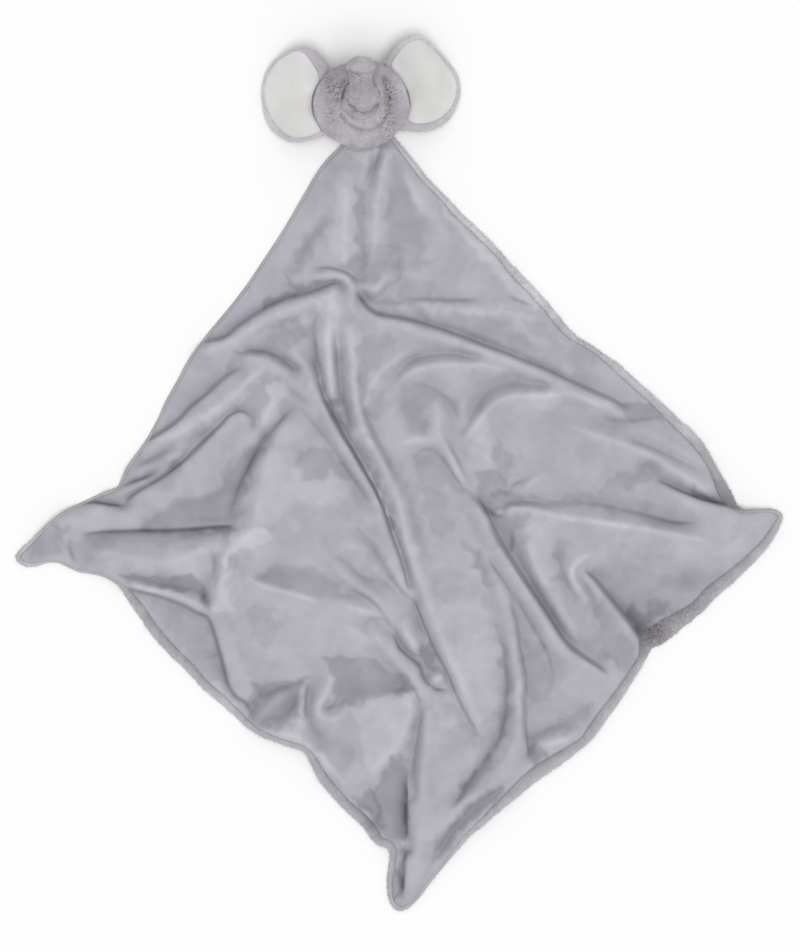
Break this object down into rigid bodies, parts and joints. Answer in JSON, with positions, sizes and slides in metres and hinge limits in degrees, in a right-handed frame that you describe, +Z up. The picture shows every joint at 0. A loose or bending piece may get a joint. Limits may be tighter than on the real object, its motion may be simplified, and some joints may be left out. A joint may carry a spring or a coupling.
{
  "type": "comfort blanket lovey",
  "caption": "Square soft comfort blanket, smooth face and plush back, lying rumpled with a stuffed elephant head, trunk and floppy ears sewn to one corner.",
  "frame": {"origin": "on the floor under the middle of the whole object as it lies", "axes": "+X to the right of the picture, +Y from the blanket's free corner toward the head, +Z up out of the floor"},
  "size_m": [0.935, 1.0628, 0.1303],
  "materials": {
    "velour": "short smooth pile, soft sheen",
    "plush": "fluffy plush, dull",
    "lining": "short soft pile, dull",
    "filling": "white fibre"
  },
  "bodies": {
    "blanket": {"blanket_back": "plush", "blanket_face": "velour"},
    "head": {"head_front_cover": "plush", "head_back_cover": "plush", "head_filling": "filling"},
    "trunk": {"trunk_cover": "plush", "trunk_filling": "filling"},
    "left_ear": {"left_ear_back": "plush", "left_ear_lining": "lining"},
    "right_ear": {"right_ear_back": "plush", "right_ear_lining": "lining"}
  },
  "joints": [
    {"name": "head_lift", "type": "hinge", "parent": "blanket", "child": "head", "pos_m": [-0.04626, 0.40002, 0.013], "axis": [1, 0, 0], "range_deg": [0, 75]},
    {"name": "left_ear_flop", "type": "hinge", "parent": "head", "child": "left_ear", "pos_m": [-0.10916, 0.45046, 0.031], "axis": [0, 1, 0], "range_deg": [-30, 75]},
    {"name": "right_ear_flop", "type": "hinge", "parent": "head", "child": "right_ear", "pos_m": [0.01664, 0.45046, 0.031], "axis": [0, -1, 0], "range_deg": [-30, 75]},
    {"name": "trunk_bend", "type": "hinge", "parent": "head", "child": "trunk", "pos_m": [-0.04626, 0.45646, 0.07934], "axis": [1, 0, 0], "range_deg": [-20, 20], "stiffness_Nm_per_rad": 0.12}
  ]
}
